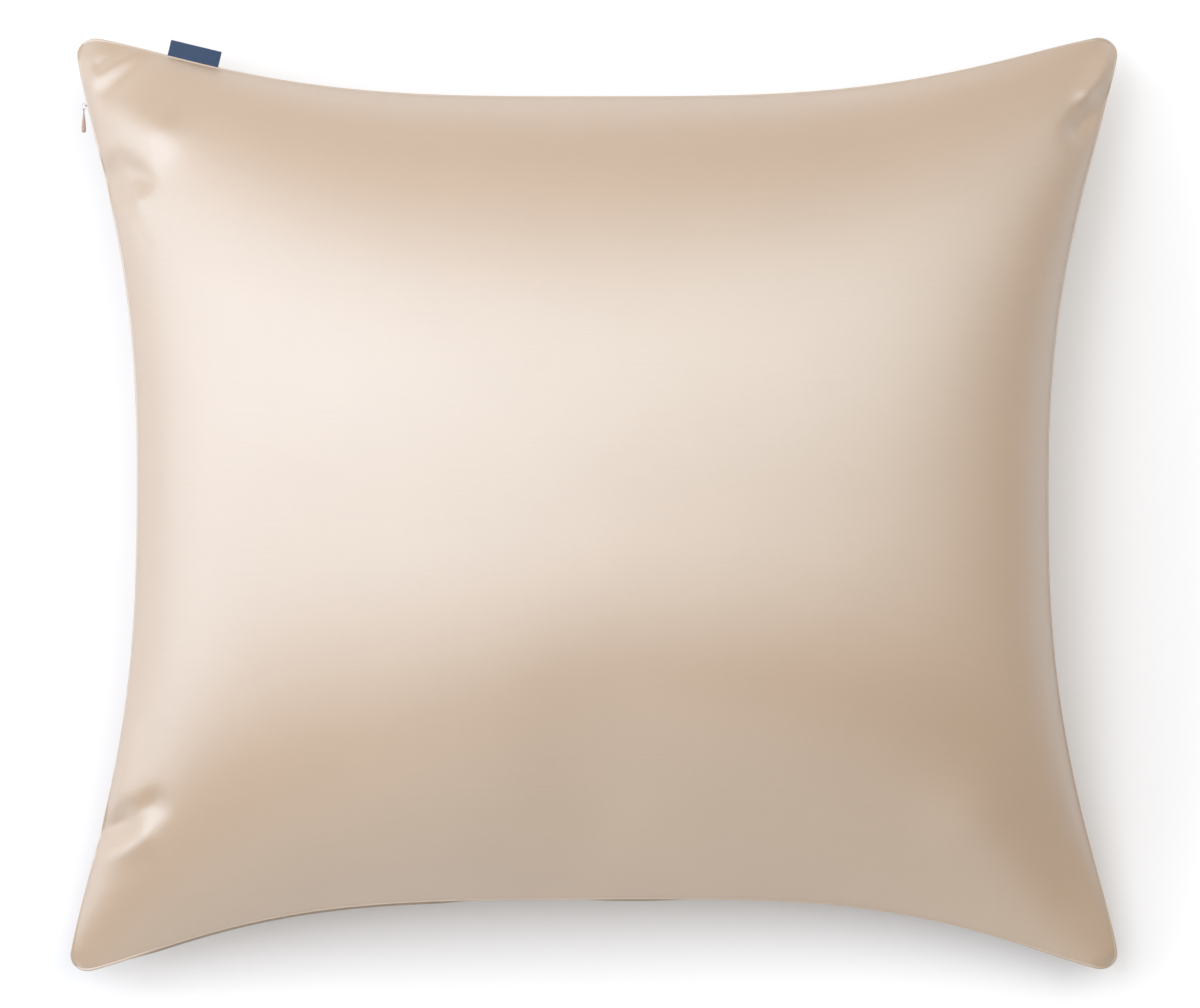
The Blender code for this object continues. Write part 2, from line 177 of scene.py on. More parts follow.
def mesh_points(mesh):
    points = np.zeros(len(mesh.vertices) * 3, np.float32)
    mesh.vertices.foreach_get("co", points)
    return points.reshape(-1, 3).astype(float)


def set_mesh_points(mesh, points):
    mesh.vertices.foreach_set("co", points.astype(np.float32).ravel())
    mesh.update()


def add_map(mesh, name, places):
    """Give a mesh a UV map with one place for each of its points."""
    layer = mesh.uv_layers.new(name=name)
    corners = np.zeros(len(mesh.loops), np.int32)
    mesh.loops.foreach_get("vertex_index", corners)
    layer.data.foreach_set("uv", places[corners].astype(np.float32).ravel())


def ease(share):
    """A soft step from 0 to 1."""
    share = np.clip(share, 0, 1)
    return share * share * (3 - 2 * share)


# ---------------------------------------------------------------- the case
def graded(a, grading):
    """Move grid lines from even spacing towards the seams."""
    return (1 - grading) * a + grading * np.sin(a * math.pi / 2)


def round_tips(s, t):
    """Bend the square's corner cells into quarter discs, which rounds the tips."""
    start = 1 - TIP_ROUNDING
    u = (np.abs(s) - start) / TIP_ROUNDING
    v = (np.abs(t) - start) / TIP_ROUNDING
    in_corner = (u > 0) & (v > 0)
    disc_u = u * np.sqrt(np.clip(1 - v * v / 2, 0, 1))
    disc_v = v * np.sqrt(np.clip(1 - u * u / 2, 0, 1))
    rounded_s = np.sign(s) * (start + TIP_ROUNDING * disc_u)
    rounded_t = np.sign(t) * (start + TIP_ROUNDING * disc_v)
    return np.where(in_corner, rounded_s, s), np.where(in_corner, rounded_t, t)


def drawn_in(side, along):
    """How far a side is drawn in, at places along it from -1 to 1."""
    return side.draw * np.maximum(1 - np.abs(along) ** side.turn, 0) ** RUN_OUT


def sharp_plan(s, t):
    """The plan positions of places on the panels, before they are fitted to the span."""
    s, t = round_tips(s, t)
    right = (s + 1) / 2
    far = (t + 1) / 2
    left_x = CORNER_NEAR_LEFT[0] * (1 - far) + CORNER_FAR_LEFT[0] * far
    right_x = CORNER_NEAR_RIGHT[0] * (1 - far) + CORNER_FAR_RIGHT[0] * far
    near_y = CORNER_NEAR_LEFT[1] * (1 - right) + CORNER_NEAR_RIGHT[1] * right
    far_y = CORNER_FAR_LEFT[1] * (1 - right) + CORNER_FAR_RIGHT[1] * right
    left_x = left_x + drawn_in(LEFT_SIDE, t)
    right_x = right_x - drawn_in(RIGHT_SIDE, t)
    near_y = near_y + drawn_in(NEAR_SIDE, s)
    far_y = far_y - drawn_in(FAR_SIDE, s)
    return left_x * (1 - right) + right_x * right, near_y * (1 - far) + far_y * far


def span_fit():
    """The low corner and the scale that bring the outline to the solid's span."""
    along = np.linspace(-1, 1, 401)
    side = np.ones_like(along)
    x, y = sharp_plan(np.concatenate((along, along, side, -side)),
                      np.concatenate((side, -side, along, along)))
    scale_x = (CASE_HIGH[0] - CASE_LOW[0]) / (x.max() - x.min())
    scale_y = (CASE_HIGH[1] - CASE_LOW[1]) / (y.max() - y.min())
    return x.min(), y.min(), scale_x, scale_y


OUTLINE_LOW_X, OUTLINE_LOW_Y, FIT_X, FIT_Y = span_fit()


def plan(s, t):
    """The plan positions of places on the panels."""
    x, y = sharp_plan(s, t)
    return (CASE_LOW[0] + (x - OUTLINE_LOW_X) * FIT_X,
            CASE_LOW[1] + (y - OUTLINE_LOW_Y) * FIT_Y)


def fold_offset(fold, x, y):
    """How far a fold lifts or sinks the cloth at places in plan."""
    run_x = fold.end[0] - fold.start[0]
    run_y = fold.end[1] - fold.start[1]
    share = (x - fold.start[0]) * run_x + (y - fold.start[1]) * run_y
    share = np.clip(share / (run_x ** 2 + run_y ** 2), 0, 1)
    away = np.hypot(x - fold.start[0] - run_x * share, y - fold.start[1] - run_y * share)
    return fold.height * np.exp(-(away / fold.half_width) ** 2)


def seam_height(s, t):
    """The height of the seam's surface over the floor."""
    sizes = case_sizes()
    x, y = plan(s, t)
    lift = 1 - (np.abs(s) * np.abs(t)) ** SEAM_POWER
    level = sizes.seam_corner + (sizes.seam_middle - sizes.seam_corner) * lift
    return level + sum(fold_offset(sag, x, y) for sag in SAGS)


def rise(side_low, side_high, place):
    """The crown's share across the case, from 0 at two facing seams to 1."""
    dome = np.where(place < 0, side_low.dome, side_high.dome)
    edge = np.where(place < 0, side_low.edge, side_high.edge)
    inner = np.maximum(1 - np.abs(place) ** dome, 0) + EDGE_SLACK
    start = EDGE_SLACK ** edge
    return (inner ** edge - start) / ((1 + EDGE_SLACK) ** edge - start)


def fullness(s, t):
    """The crown's share at places on the front panel."""
    return rise(LEFT_SIDE, RIGHT_SIDE, s) * rise(NEAR_SIDE, FAR_SIDE, t)


def back_fullness(s, t):
    """How full the back panel is at places on it, from 0 at a seam to 1 in the middle."""
    return (1 - np.abs(s) ** BACK_DOME) * (1 - np.abs(t) ** BACK_DOME)


def from_seam(s, t):
    """How far places lie from the nearest seam, as a share of a half side."""
    return np.minimum(1 - np.abs(s), 1 - np.abs(t))


def ripples(s, t):
    """Low waves all over the front panel."""
    total = np.zeros_like(s)
    for ripple in RIPPLES:
        total += ripple.height * np.sin(ripple.across * s + ripple.along * t + ripple.phase)
    return total


def puckers(s, t):
    """Small waves beside the seam, which die out inwards."""
    sizes = case_sizes()
    from_side = (1 - np.abs(s)) * sizes.cut_x / 2
    from_end = (1 - np.abs(t)) * sizes.cut_y / 2
    total = np.zeros_like(s)
    for inward, along in ((from_side, t), (from_end, s)):
        waves = sum(np.sin(pace * along + phase) for pace, phase in PUCKER_WAVES)
        total += waves / len(PUCKER_WAVES) * np.exp(-inward / PUCKER_REACH)
    return PUCKER_HEIGHT * total


def peek(x):
    """How far the back panel's edge shows beyond the near seam."""
    total = np.zeros_like(x)
    for row in PEEKS:
        total += row.reach * ease((x - row.start) / PEEK_EASE) * ease((row.end - x) / PEEK_EASE)
    return total


def seam_normals(a, b, x, y, chosen):
    """The chosen ring's points in order around the seam, and their outward directions."""
    index = np.where(chosen)[0]
    turn = np.arctan2(b[index], a[index])
    order = index[np.argsort(turn)]
    along_x = np.roll(x[order], -1) - np.roll(x[order], 1)
    along_y = np.roll(y[order], -1) - np.roll(y[order], 1)
    length = np.hypot(along_x, along_y)
    return order, along_y / length, -along_x / length


def panel_points(s, t, on_front):
    """The points of the two panels, whose edges lie a little inside the seam line."""
    panel_in, panel_up = RIM_RINGS[0]
    seam_x, seam_y = plan(s, t)
    middle_x = (CASE_LOW[0] + CASE_HIGH[0]) / 2
    middle_y = (CASE_LOW[1] + CASE_HIGH[1]) / 2
    x = seam_x + panel_in * (seam_x - middle_x) / (CASE_HIGH[0] - middle_x)
    y = seam_y + panel_in * (seam_y - middle_y) / (CASE_HIGH[1] - middle_y)

    seam = seam_height(s, t)
    folded = 1 + sum(fold_offset(fold, x, y) for fold in FOLDS)
    detail = (ripples(s, t) + puckers(s, t)) * ease(from_seam(s, t) / DETAIL_FADE)
    front = seam + panel_up + case_sizes().crown * fullness(s, t) * folded + detail
    sunk = np.minimum(1, back_fullness(s, t) / FLOOR_FROM)
    back = (seam - panel_up) * (1 - sunk) ** FLOOR_POWER
    return np.column_stack((x, y, np.where(on_front, front, back)))


def turn_seam(unit, s, t, on_rim, points, cloth):
    """Move the rings of points around the rim to the turned seam."""
    a, b, level = unit.T
    seam_x, seam_y = plan(s, t)
    seam = seam_height(s, t)
    panel_in = RIM_RINGS[0][0]
    ring_levels = np.linspace(1, -1, len(RIM_RINGS))
    same_level = 0.5 / len(RIM_RINGS)
    for ring_level, (out, up) in zip(ring_levels, RIM_RINGS):
        chosen = on_rim & (np.abs(level - ring_level) < same_level)
        order, out_x, out_y = seam_normals(a, b, seam_x, seam_y, chosen)
        near = np.clip(-out_y, 0, 1) * (ring_level < 0)
        reach = out + peek(seam_x[order]) * near
        points[order, 0] = seam_x[order] + out_x * reach
        points[order, 1] = seam_y[order] + out_y * reach
        points[order, 2] = seam[order] + up
        cloth[order, 0] += out_x * (out - panel_in)
        cloth[order, 1] += out_y * (out - panel_in)


def laid_over_filling(unit):
    """Move the points of the unit box, whose height is the ring's level, to the case.

    Returns them with their places on the flat cloth and their closeness to the seam.
    """
    sizes = case_sizes()
    a, b, level = unit.T
    s = graded(a, sizes.grading)
    t = graded(b, sizes.grading)
    on_rim = np.maximum(np.abs(a), np.abs(b)) > 1 - RIM_TOLERANCE
    points = panel_points(s, t, level > 0)
    cloth = np.column_stack((s * sizes.cut_x / 2, t * sizes.cut_y / 2))
    turn_seam(unit, s, t, on_rim, points, cloth)
    # Closeness to the seam drives painted shade: the satin's colour is darkened in the seam
    # groove and a little way in.
    closeness = np.exp(-from_seam(s, t) * sizes.cut_y / 2 / sizes.painted_seam_shade_width)
    return points, cloth, np.where(on_rim, 1.0, closeness)


def unit_box(cells_x, cells_y):
    """Two unit grids one over the other, bridged along their edges."""
    deselect_all()
    grids = []
    for height in (1.0, -1.0):
        bpy.ops.mesh.primitive_grid_add(x_subdivisions=cells_x, y_subdivisions=cells_y,
                                        size=2.0, location=(0.0, 0.0, height))
        bpy.ops.object.transform_apply(location=True, rotation=False, scale=False)
        grids.append(bpy.context.object)
    activate(*grids)
    bpy.ops.object.join()
    bpy.ops.object.mode_set(mode="EDIT")
    bpy.ops.mesh.select_mode(type="EDGE")
    bpy.ops.mesh.select_all(action="DESELECT")
    bpy.ops.mesh.select_non_manifold(extend=False)
    bpy.ops.mesh.bridge_edge_loops(type="SINGLE", number_cuts=RIM_CUTS,
                                   interpolation="LINEAR")
    bpy.ops.mesh.select_all(action="SELECT")
    bpy.ops.mesh.normals_make_consistent(inside=False)
    bpy.ops.object.mode_set(mode="OBJECT")
    return bpy.context.object


class PILLOWCASE_OT_case(bpy.types.Operator):
    """Lay the two sewn panels over the filling"""

    bl_idname = "pillowcase.case"
    bl_label = "Case"

    def execute(self, context):
        sizes = case_sizes()
        case = unit_box(sizes.cells_x, sizes.cells_y)
        name_piece(case, "satin_case")
        points, cloth, closeness = laid_over_filling(mesh_points(case.data))
        set_mesh_points(case.data, points)
        for layer in list(case.data.uv_layers):
            case.data.uv_layers.remove(layer)
        add_map(case.data, "cloth", cloth)
        # This attribute carries the painted shade along the seam groove.
        painted_seam_shade_mask = case.data.attributes.new("seam", "FLOAT", "POINT")
        painted_seam_shade_mask.data.foreach_set("value", closeness.astype(np.float32))
        case.data.shade_smooth()
        case.data.materials.clear()
        case.data.materials.append(satin_material())
        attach(case, "root")
        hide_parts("case")
        return {"FINISHED"}


# ---------------------------------------------------------------- places on the seam
def seam_point(s, t):
    x, y = plan(np.array([s]), np.array([t]))
    height = seam_height(np.array([s]), np.array([t]))
    return Vector((x[0], y[0], height[0]))


def seam_frame(s, t):
    """Axes at a place on the seam: X along it, Y straight out and Z up."""
    step = 0.01
    if abs(t) == 1.0:
        along = seam_point(s + step, t) - seam_point(s - step, t)
        out = Vector((0.0, t, 0.0))
    else:
        along = seam_point(s, t + step) - seam_point(s, t - step)
        out = Vector((s, 0.0, 0.0))
    along.normalize()
    out = (out - along * out.dot(along)).normalized()
    up = along.cross(out)
    if up.z < 0:
        along = -along
        up = -up
    axes = Matrix((along, out, up)).transposed().to_4x4()
    axes.translation = seam_point(s, t)
    return axes


# ---------------------------------------------------------------- the label
LABEL_AT = -0.77                    # the label's middle, as s on the far seam
LABEL_TUCK = 1.5 * MM               # how far the tape's ends run into the seam
LABEL_BEND_RADIUS = 0.45 * MM
LABEL_CURL_POWER = 4                # how close to its sides the label's curl keeps
LABEL_WAVE_TURN = 9.0               # radians of unevenness over the label's width
LABEL_WAVE_PHASE = 0.7
LABEL_EDGE_SHARE = 0.3              # how round the tape's edges are, over its thickness
LABEL_CELLS_ACROSS = 96
LABEL_CELLS_ROUND = 64


def folded_tape(points):
    """Fold a flat tape in two: its points' unit X runs across and unit Y around the fold."""
    label = bpy.context.scene.pillowcase_label
    across = points[:, 0] * label.width
    straight = LABEL_TUCK + label.reach - LABEL_BEND_RADIUS - label.thickness / 2
    bend = math.pi * LABEL_BEND_RADIUS
    walked = (points[:, 1] + 0.5) * (2 * straight + bend)
    turn = np.clip((walked - straight) / LABEL_BEND_RADIUS, 0, math.pi)
    past = np.maximum(walked - straight - bend, 0)
    out = np.minimum(walked, straight) - LABEL_TUCK - past
    out += LABEL_BEND_RADIUS * np.sin(turn)
    up = LABEL_BEND_RADIUS * np.cos(turn)
    outer = np.clip(out / label.reach, 0, 1)
    corner = np.abs(points[:, 0] * 2) ** LABEL_CURL_POWER
    up += label.lift * outer ** 2 - label.curl * corner * outer
    up += label.wave * np.sin(points[:, 0] * LABEL_WAVE_TURN + LABEL_WAVE_PHASE) * outer
    flat = np.column_stack((across, walked))
    return np.column_stack((across, out, up)), flat


class PILLOWCASE_OT_label(bpy.types.Operator):
    """Fold the woven label and catch its ends in the far seam"""

    bl_idname = "pillowcase.label"
    bl_label = "Label"

    def execute(self, context):
        label = context.scene.pillowcase_label
        deselect_all()
        bpy.ops.mesh.primitive_grid_add(x_subdivisions=LABEL_CELLS_ACROSS,
                                        y_subdivisions=LABEL_CELLS_ROUND, size=1.0)
        tape = bpy.context.object
        name_piece(tape, "woven_label")
        points, flat = folded_tape(mesh_points(tape.data))
        set_mesh_points(tape.data, points)
        for layer in list(tape.data.uv_layers):
            tape.data.uv_layers.remove(layer)
        add_map(tape.data, "tape", flat)
        thickness = tape.modifiers.new("thickness", "SOLIDIFY")
        thickness.thickness = label.thickness
        thickness.offset = 0.0
        bpy.ops.object.modifier_apply(modifier=thickness.name)
        edges = tape.modifiers.new("soft edges", "BEVEL")
        edges.width = label.thickness * LABEL_EDGE_SHARE
        edges.segments = 2
        edges.limit_method = "ANGLE"
        bpy.ops.object.modifier_apply(modifier=edges.name)
        tape.data.transform(seam_frame(LABEL_AT, 1.0))
        tape.data.shade_smooth()
        tape.data.materials.clear()
        tape.data.materials.append(label_material())
        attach(tape, "root")
        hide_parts("label")
        return {"FINISHED"}


# ---------------------------------------------------------------- the zip's end
ZIP_AT = 0.852                      # the slider's middle, as t on the left seam
SLIDER_SIZE = (8.0 * MM, 3.8 * MM, 2.4 * MM)
SLIDER_BELOW_SEAM = 3.3 * MM        # from the seam line to the middle of the slider
SLIDER_OUT = -2.1 * MM              # under 0, because it lies inside the seam line
SLIDER_EDGE = 0.3 * MM
SLIDER_WING = 0.7 * MM              # thickness of the two wings that hold the teeth
CHANNEL_DEPTH_SHARE = 0.16          # of the slider's depth
MIDDLE_SHARE = 0.1                  # how near to the middle a face's centre counts as in it
STAPLE_WIRE = 0.4 * MM
STAPLE_REACH = 1.9 * MM
STAPLE_HEIGHT = 2.0 * MM
RING_WIRE = 0.3 * MM
RING_ROUNDNESS = 1.35               # 1 is a sharp diamond and 2 an oval
UNIT_WIRE = 0.1                     # the wire of the torus that the ring is bent from
PULL_EYE_RADIUS = 1.2 * MM
PULL_EYE_WIRE = 0.36 * MM

# The turned pull: how far down each ring lies, as a share of the length under the eye,
# and its radius, as a share of the largest.
PULL_PROFILE = ((0.00, 0.26), (0.06, 0.30), (0.20, 0.44), (0.38, 0.66), (0.55, 0.84),
                (0.70, 0.95), (0.82, 1.00), (0.90, 0.98), (0.95, 0.90), (0.985, 0.70),
                (1.00, 0.38))


def finish_zip_piece(piece, name, node, material, angle):
    """Smooth a piece of the zip up to an angle in degrees, and give it its material."""
    name_piece(piece, name)
    activate(piece)
    bpy.ops.object.transform_apply(location=True, rotation=True, scale=True)
    bpy.ops.object.mode_set(mode="EDIT")
    bpy.ops.mesh.select_all(action="SELECT")
    bpy.ops.mesh.normals_make_consistent(inside=False)
    bpy.ops.object.mode_set(mode="OBJECT")
    bpy.ops.object.shade_smooth_by_angle(angle=math.radians(angle))
    piece.data.materials.clear()
    piece.data.materials.append(material)
    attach(piece, "root")
    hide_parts(node)


def select_faces(piece, test):
    """In edit mode, select the faces whose centre and normal pass a test."""
    bpy.ops.object.mode_set(mode="OBJECT")
    for face in piece.data.polygons:
        face.select = test(face.center, face.normal)
    bpy.ops.object.mode_set(mode="EDIT")


class PILLOWCASE_OT_zip_slider(bpy.types.Operator):
    """Model the slider with its two wings and the staple that holds the ring"""

    bl_idname = "pillowcase.zip_slider"
    bl_label = "Zip slider"

    def execute(self, context):
        length, depth, height = SLIDER_SIZE
        deselect_all()
        bpy.ops.mesh.primitive_cube_add(size=1.0)
        body = bpy.context.object
        bpy.ops.object.mode_set(mode="EDIT")
        bpy.ops.mesh.select_mode(type="FACE")
        bpy.ops.transform.resize(value=SLIDER_SIZE)
        # The channel between the wings, open along both long sides.
        select_faces(body, lambda centre, normal: abs(normal.y) > 0.9)
        bpy.ops.mesh.inset(thickness=SLIDER_WING, use_individual=True)
        for side in (1, -1):
            select_faces(body, lambda centre, normal: normal.y * side > 0.9
                         and abs(centre.x) < length * MIDDLE_SHARE
                         and abs(centre.z) < height * MIDDLE_SHARE)
            inward = -side * depth * CHANNEL_DEPTH_SHARE
            bpy.ops.transform.translate(value=(0.0, inward, 0.0))
        bpy.ops.object.mode_set(mode="OBJECT")
        edges = body.modifiers.new("soft edges", "BEVEL")
        edges.width = SLIDER_EDGE
        edges.segments = 3
        edges.limit_method = "ANGLE"
        bpy.ops.object.modifier_apply(modifier=edges.name)

        bpy.ops.mesh.primitive_torus_add(major_segments=32, minor_segments=12,
                                         major_radius=STAPLE_HEIGHT / 2,
                                         minor_radius=STAPLE_WIRE,
                                         location=(0.0, 0.0, 0.0),
                                         rotation=(0.0, math.pi / 2, 0.0))
        staple = bpy.context.object
        bpy.ops.object.transform_apply(location=False, rotation=True, scale=False)
        points = mesh_points(staple.data)
        stretch = (STAPLE_REACH - STAPLE_WIRE) / (STAPLE_HEIGHT / 2)
        points[:, 1] = np.where(points[:, 1] > 0, points[:, 1] * stretch, points[:, 1])
        points[:, 1] += depth / 2
        set_mesh_points(staple.data, points)
        activate(body, staple)
        bpy.ops.object.join()
        place = Matrix.Translation((0.0, SLIDER_OUT, -SLIDER_BELOW_SEAM))
        body.data.transform(seam_frame(-1.0, ZIP_AT) @ place)
        finish_zip_piece(body, "slider_body", "zip_slider", metal_material(),
                         angle=35)
        return {"FINISHED"}


class PILLOWCASE_OT_zip_ring(bpy.types.Operator):
    """Bend the wire link between the slider and the pull"""

    bl_idname = "pillowcase.zip_ring"
    bl_label = "Zip ring"

    def execute(self, context):
        low, high = (Vector(corner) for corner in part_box("zip_ring"))
        middle = (low + high) / 2
        half = (high - low) / 2 - Vector((RING_WIRE, RING_WIRE, 0.0))
        deselect_all()
        bpy.ops.mesh.primitive_torus_add(major_segments=72, minor_segments=14,
                                         major_radius=1.0, minor_radius=UNIT_WIRE)
        ring = bpy.context.object
        points = mesh_points(ring.data)
        turn = np.arctan2(points[:, 1], points[:, 0])
        away = np.hypot(points[:, 0], points[:, 1]) - 1.0
        power = RING_ROUNDNESS
        reach = (np.abs(np.cos(turn) / half.x) ** power
                 + np.abs(np.sin(turn) / half.y) ** power)
        reach = reach ** (-1 / power) + away / UNIT_WIRE * RING_WIRE
        points[:, 0] = reach * np.cos(turn)
        points[:, 1] = reach * np.sin(turn)
        points[:, 2] *= RING_WIRE / UNIT_WIRE
        set_mesh_points(ring.data, points + np.array(middle))
        finish_zip_piece(ring, "ring_link", "zip_ring", metal_material(),
                         angle=60)
        return {"FINISHED"}


class PILLOWCASE_OT_zip_pull(bpy.types.Operator):
    """Turn the drop-shaped pull and its eye"""

    bl_idname = "pillowcase.zip_pull"
    bl_label = "Zip pull"

    def execute(self, context):
        low, high = (Vector(corner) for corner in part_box("zip_pull"))
        middle = (low + high) / 2
        radius = (high.x - low.x) / 2
        top = high.y - 2 * PULL_EYE_RADIUS - PULL_EYE_WIRE
        length = top - low.y
        deselect_all()
        first_radius = PULL_PROFILE[0][1]
        bpy.ops.mesh.primitive_circle_add(vertices=32, radius=radius * first_radius,
                                          fill_type="NGON",
                                          location=(middle.x, top, middle.z),
                                          rotation=(math.pi / 2, 0.0, 0.0))
        pull = bpy.context.object
        bpy.ops.object.transform_apply(location=True, rotation=True, scale=True)
        bpy.ops.object.mode_set(mode="EDIT")
        bpy.ops.mesh.select_all(action="SELECT")
        for before, after in zip(PULL_PROFILE, PULL_PROFILE[1:]):
            down = -(after[0] - before[0]) * length
            bpy.ops.mesh.extrude_region_move(
                TRANSFORM_OT_translate={"value": (0.0, down, 0.0)})
            growth = after[1] / before[1]
            centre = (middle.x, top - after[0] * length, middle.z)
            bpy.ops.transform.resize(value=(growth, 1.0, growth), center_override=centre)
        bpy.ops.object.mode_set(mode="OBJECT")
        smooth = pull.modifiers.new("smooth", "SUBSURF")
        smooth.levels = 2
        smooth.render_levels = 2
        bpy.ops.object.modifier_apply(modifier=smooth.name)
        bpy.ops.mesh.primitive_torus_add(major_segments=40, minor_segments=14,
                                         major_radius=PULL_EYE_RADIUS,
                                         minor_radius=PULL_EYE_WIRE,
                                         location=(middle.x, top + PULL_EYE_RADIUS, middle.z),
                                         rotation=(0.0, math.pi / 2, 0.0))
        eye = bpy.context.object
        activate(pull, eye)
        bpy.ops.object.join()
        finish_zip_piece(pull, "drop_pull", "zip_pull", paint_material(),
                         angle=50)
        return {"FINISHED"}


# ---------------------------------------------------------------- materials
# The thickness of a thread, and the length of its float over the threads that it crosses.
SATIN_THREAD = 0.28 * MM
SATIN_FLOAT = 2.2 * MM
LABEL_THREAD = 0.42 * MM
LABEL_FLOAT = 0.9 * MM
WEAVE_STAGGER = 0.38                # how far every other row is shifted, over a float
WEAVE_GAP = 0.16                    # the groove between two threads, over a thread
NOISE_LOW = 0.3                     # most values of a noise lie between these two
NOISE_HIGH = 0.7
GLOSS_SPREAD = 0.02                 # how far the satin's roughness changes with its slubs


def new_material(name):
    """A new material, its node tree and its shader."""
    material = bpy.data.materials.new(name)
    material.use_nodes = True
    tree = material.node_tree
    return material, tree, tree.nodes["Principled BSDF"]


def add_node(tree, kind, settings=None, **inputs):
    """Add a node, with its own settings and the values of its named inputs."""
    node = tree.nodes.new(kind)
    for name, value in (settings or {}).items():
        setattr(node, name, value)
    for name, value in inputs.items():
        node.inputs[name.replace("_", " ")].default_value = value
    return node


def scaled_map(tree, map_name, scale=(1.0, 1.0)):
    """A UV map in metres, stretched by a scale along each way."""
    source = add_node(tree, "ShaderNodeUVMap", {"uv_map": map_name})
    mapping = add_node(tree, "ShaderNodeMapping")
    mapping.inputs["Scale"].default_value = (*scale, 1.0)
    tree.links.new(source.outputs["UV"], mapping.inputs["Vector"])
    return mapping.outputs["Vector"]


def noise(tree, vector, scale, detail):
    node = add_node(tree, "ShaderNodeTexNoise", Scale=scale, Detail=detail, Roughness=0.5)
    tree.links.new(vector, node.inputs["Vector"])
    return node.outputs["Fac"]


def remap(tree, value, low, high):
    """Bring a noise or a weave's tone to a range."""
    node = add_node(tree, "ShaderNodeMapRange", From_Min=NOISE_LOW, From_Max=NOISE_HIGH,
                    To_Min=low, To_Max=high)
    tree.links.new(value, node.inputs["Value"])
    return node.outputs["Result"]


def multiply(tree, first, second):
    node = add_node(tree, "ShaderNodeMath", {"operation": "MULTIPLY"})
    tree.links.new(first, node.inputs[0])
    tree.links.new(second, node.inputs[1])
    return node.outputs[0]


def tone(tree, colour, factor):
    """A colour made darker or lighter by a changing factor."""
    node = add_node(tree, "ShaderNodeVectorMath", {"operation": "SCALE"})
    node.inputs[0].default_value = colour
    tree.links.new(factor, node.inputs["Scale"])
    return node.outputs["Vector"]


def bump(tree, height, distance, before=None):
    node = add_node(tree, "ShaderNodeBump", Strength=1.0, Distance=distance)
    tree.links.new(height, node.inputs["Height"])
    if before:
        tree.links.new(before, node.inputs["Normal"])
    return node.outputs["Normal"]


def satin_weave(tree, map_name, thread, float_length):
    """A satin's long floats: staggered bricks, one thread high. Returns tone and height."""
    weave = add_node(tree, "ShaderNodeTexBrick",
                     {"offset": WEAVE_STAGGER, "offset_frequency": 2},
                     Scale=1.0, Mortar_Size=thread * WEAVE_GAP, Mortar_Smooth=1.0,
                     Brick_Width=float_length, Row_Height=thread)
    for socket, grey in (("Color1", 0.35), ("Color2", 0.65), ("Mortar", 0.30)):
        weave.inputs[socket].default_value = (grey, grey, grey, 1.0)
    tree.links.new(scaled_map(tree, map_name), weave.inputs["Vector"])
    height = add_node(tree, "ShaderNodeMath", {"operation": "SUBTRACT"})
    height.inputs[0].default_value = 1.0
    tree.links.new(weave.outputs["Fac"], height.inputs[1])
    return weave.outputs["Color"], height.outputs[0]


def satin_material():
    """Champagne satin: a wide soft gloss over long fine floats."""
    finish = bpy.context.scene.pillowcase_finish
    material, tree, shader = new_material("champagne_satin")
    thread_tone, thread_height = satin_weave(tree, "cloth", SATIN_THREAD, SATIN_FLOAT)
    slubs = noise(tree, scaled_map(tree, "cloth", (12.0, 700.0)), scale=1.0, detail=3.0)
    clouds = noise(tree, scaled_map(tree, "cloth"), scale=14.0, detail=2.0)
    # Painted shade: the satin's base colour is darkened in the seam groove and on its lips,
    # fading inwards.
    painted_seam_shade_mask = add_node(tree, "ShaderNodeAttribute", {"attribute_name": "seam"}).outputs["Fac"]

    factor = multiply(tree, remap(tree, thread_tone, 0.975, 1.025),
                      remap(tree, slubs, 0.985, 1.015))
    factor = multiply(tree, factor, remap(tree, clouds, 0.99, 1.01))
    seam_shade = add_node(tree, "ShaderNodeMapRange", To_Min=1.0, To_Max=finish.seam_shade)
    tree.links.new(painted_seam_shade_mask, seam_shade.inputs["Value"])
    factor = multiply(tree, factor, seam_shade.outputs["Result"])
    tree.links.new(tone(tree, finish.satin_colour, factor), shader.inputs["Base Color"])

    roughness = remap(tree, slubs, finish.satin_roughness - GLOSS_SPREAD,
                      finish.satin_roughness + GLOSS_SPREAD)
    tree.links.new(roughness, shader.inputs["Roughness"])
    threads = bump(tree, thread_height, distance=0.012 * MM)
    slubbed = bump(tree, slubs, distance=0.02 * MM, before=threads)
    tree.links.new(slubbed, shader.inputs["Normal"])

    shader.inputs["IOR"].default_value = finish.satin_ior
    shader.inputs["Specular IOR Level"].default_value = 1.0
    shader.inputs["Specular Tint"].default_value = (*finish.gloss_colour, 1.0)
    shader.inputs["Anisotropic"].default_value = 0.25
    tangent = add_node(tree, "ShaderNodeTangent", {"direction_type": "UV_MAP", "uv_map": "cloth"})
    tree.links.new(tangent.outputs["Tangent"], shader.inputs["Tangent"])
    shader.inputs["Sheen Weight"].default_value = 0.12
    shader.inputs["Sheen Roughness"].default_value = 0.35
    shader.inputs["Sheen Tint"].default_value = (1.0, 0.93, 0.86, 1.0)
    return material


